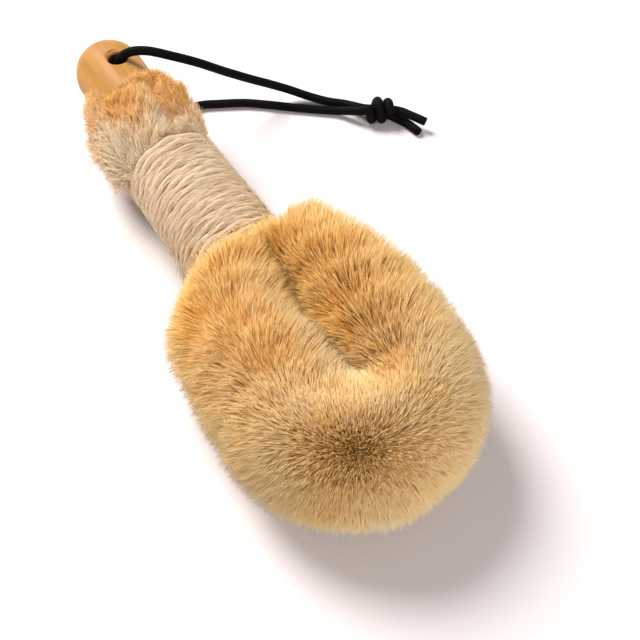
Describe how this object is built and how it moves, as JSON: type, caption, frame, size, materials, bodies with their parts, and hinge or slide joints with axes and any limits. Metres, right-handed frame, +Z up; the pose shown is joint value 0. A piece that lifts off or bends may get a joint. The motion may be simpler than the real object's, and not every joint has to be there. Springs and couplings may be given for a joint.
{
  "type": "sisal scrub brush",
  "caption": "Hand scrub brush: a wired sisal fibre rod bent into a rounded looped head and lashed with twine to a wooden handle, whose drilled end carries a knotted black hanging loop.",
  "frame": {"origin": "centre of the brush's footprint on the surface it lies on, without the hanging cord", "axes": "+Y along the brush from the head to the hanging end, +X to the right seen from above, +Z up"},
  "size_m": [0.1291, 0.2, 0.0403],
  "materials": {
    "handle_wood": "satin, clear-coated golden wood",
    "wire": "drawn galvanised wire",
    "sisal_fibre": "coarse dry plant fibre",
    "twine": "pale twisted sisal twine",
    "cord": "smooth black woven cord"
  },
  "bodies": {
    "brush": {"wood_handle": "handle_wood", "wire_strand_a": "wire", "wire_strand_b": "wire", "head_bristles_left": "sisal_fibre", "head_bristles_right": "sisal_fibre", "end_tuft_left": "sisal_fibre", "end_tuft_right": "sisal_fibre", "grip_bundle_left": "sisal_fibre", "grip_bundle_right": "sisal_fibre", "twine_wrap": "twine"},
    "loop": {"hanging_cord": "cord", "cord_knot": "cord", "cord_tail_upper": "cord", "cord_tail_lower": "cord"}
  },
  "joints": [
    {"name": "loop_swing", "type": "hinge", "parent": "brush", "child": "loop", "pos_m": [0.00229, 0.08131, 0.02], "axis": [0, 0, 1], "range_deg": [0, 200]}
  ]
}
